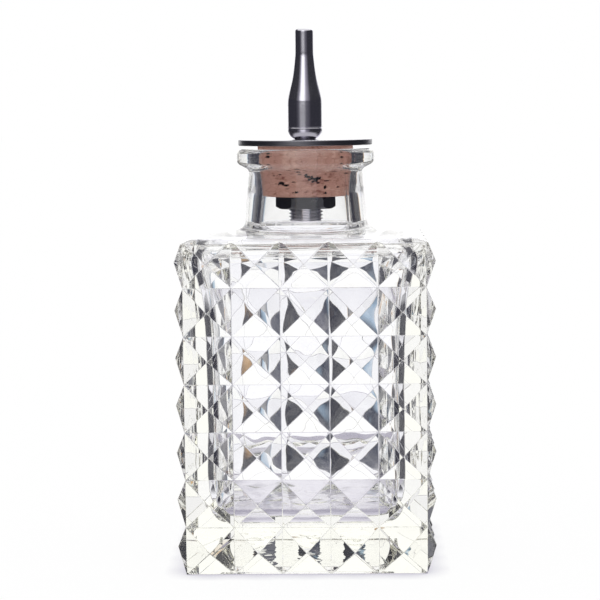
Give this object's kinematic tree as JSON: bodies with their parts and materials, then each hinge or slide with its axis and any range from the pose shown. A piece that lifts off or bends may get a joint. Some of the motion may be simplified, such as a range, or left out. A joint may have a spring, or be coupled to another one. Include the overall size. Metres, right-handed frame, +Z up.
{
  "type": "bitters bottle",
  "caption": "Square glass bitters bottle with pyramid-moulded sides, a short round neck, and a cork dasher stopper with a slim turned steel spout.",
  "frame": {"origin": "middle of the bottle's foot, on the surface it stands on", "axes": "+Z up along the neck and spout, -Y out of the front face, +X to the right seen from the front"},
  "size_m": [0.0578, 0.0578, 0.1205],
  "materials": {
    "clear_glass": "clear pressed glass, fire-polished facets",
    "cork": "fine natural cork with dark specks, unvarnished",
    "polished_steel": "turned and polished stainless steel",
    "turned_steel": "stainless steel as turned"
  },
  "bodies": {
    "bottle": {"glass_bottle": "clear_glass"},
    "stopper": {"cork_stopper": "cork", "hex_nut": "turned_steel"},
    "disc": {"top_disc": "polished_steel"},
    "spout": {"dasher_spout": "polished_steel", "threaded_stem": "turned_steel"}
  },
  "joints": [
    {"name": "stopper_lift", "type": "slide", "parent": "bottle", "child": "stopper", "axis": [0, 0, 1], "range_m": [0, 0.03]},
    {"name": "disc_rise", "type": "slide", "parent": "stopper", "child": "disc", "axis": [0, 0, 1], "range_m": [0, 0.0045]},
    {"name": "spout_turn", "type": "hinge", "parent": "disc", "child": "spout", "pos_m": [0, 0, 0.0948], "axis": [0, 0, 1], "range_deg": [0, 2160]}
  ],
  "couplings": [
    {"joint": "spout_turn", "follows": "disc_rise", "rad_per_m": 8377.6}
  ]
}
